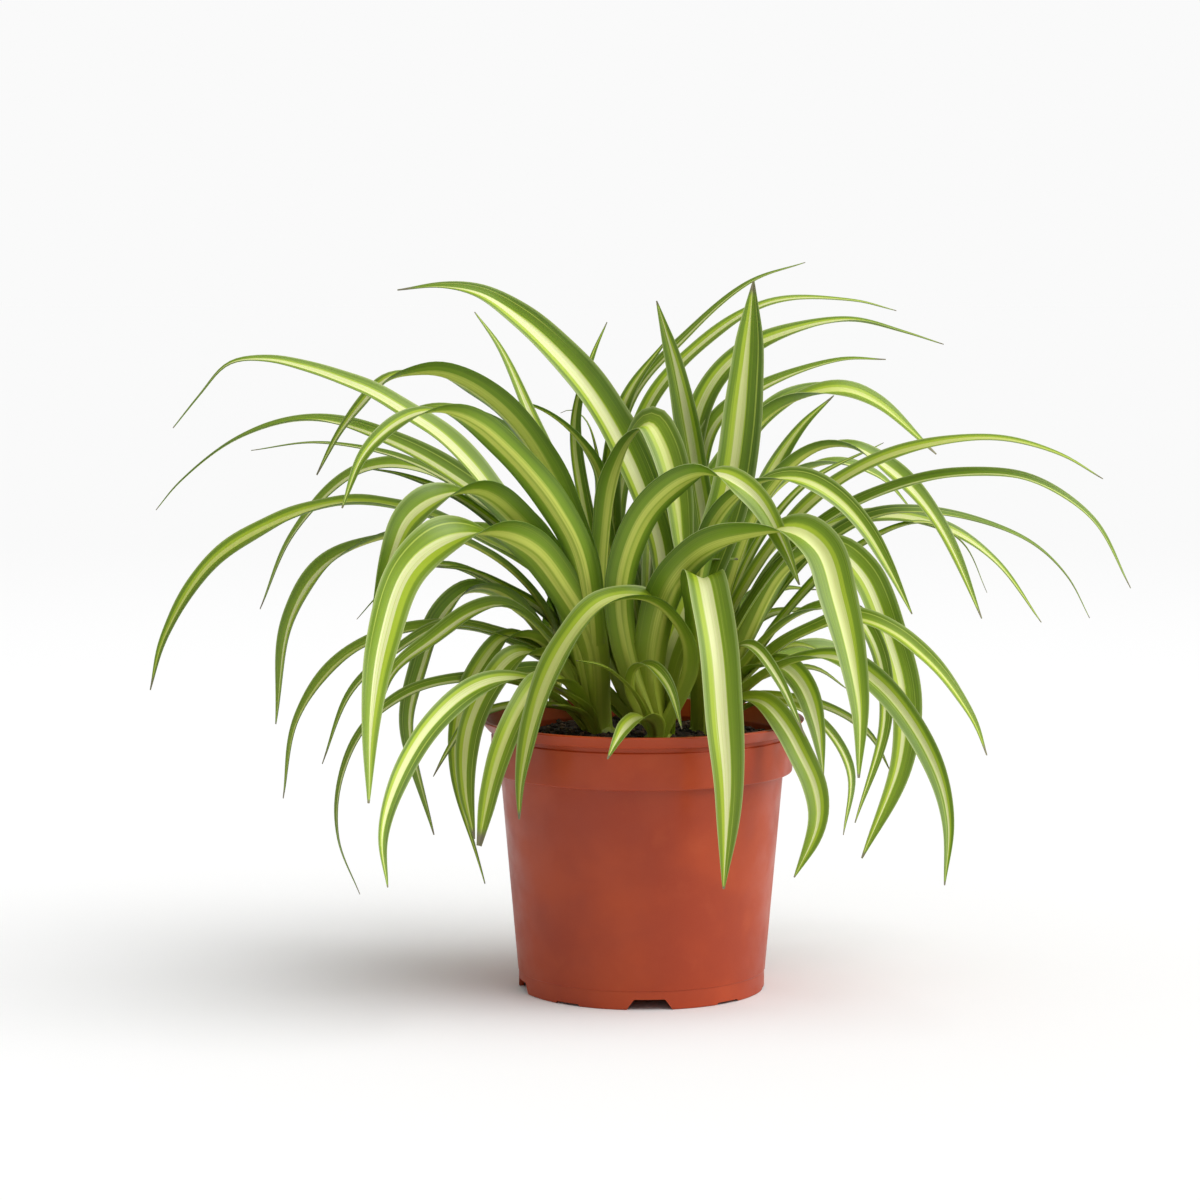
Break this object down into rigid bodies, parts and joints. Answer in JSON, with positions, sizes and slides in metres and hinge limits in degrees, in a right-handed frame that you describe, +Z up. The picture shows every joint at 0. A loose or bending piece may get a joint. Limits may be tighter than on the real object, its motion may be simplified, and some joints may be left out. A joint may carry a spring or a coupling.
{
  "type": "potted spider plant",
  "caption": "Potted spider plant: arching green leaves with a cream stripe down the middle, growing in rosettes from a round terracotta-coloured plastic nursery pot.",
  "frame": {"origin": "on the pot's axis, in the plane that the foot of the pot stands on, which is also the bottom centre of the whole plant's box", "axes": "+Z up along the pot's axis, +X to the right along the plant's widest spread, -Y towards the front"},
  "size_m": [0.449, 0.249, 0.335],
  "materials": {
    "pot_plastic": "satin moulded plastic",
    "potting_soil": "dark crumbly potting soil",
    "leaf": "satin leaf with a cream stripe down the middle"
  },
  "bodies": {
    "root": {"pot": "pot_plastic", "soil": "potting_soil", "rosette_left": "leaf", "rosette_middle": "leaf", "rosette_right": "leaf", "rosette_back": "leaf"}
  },
  "joints": []
}
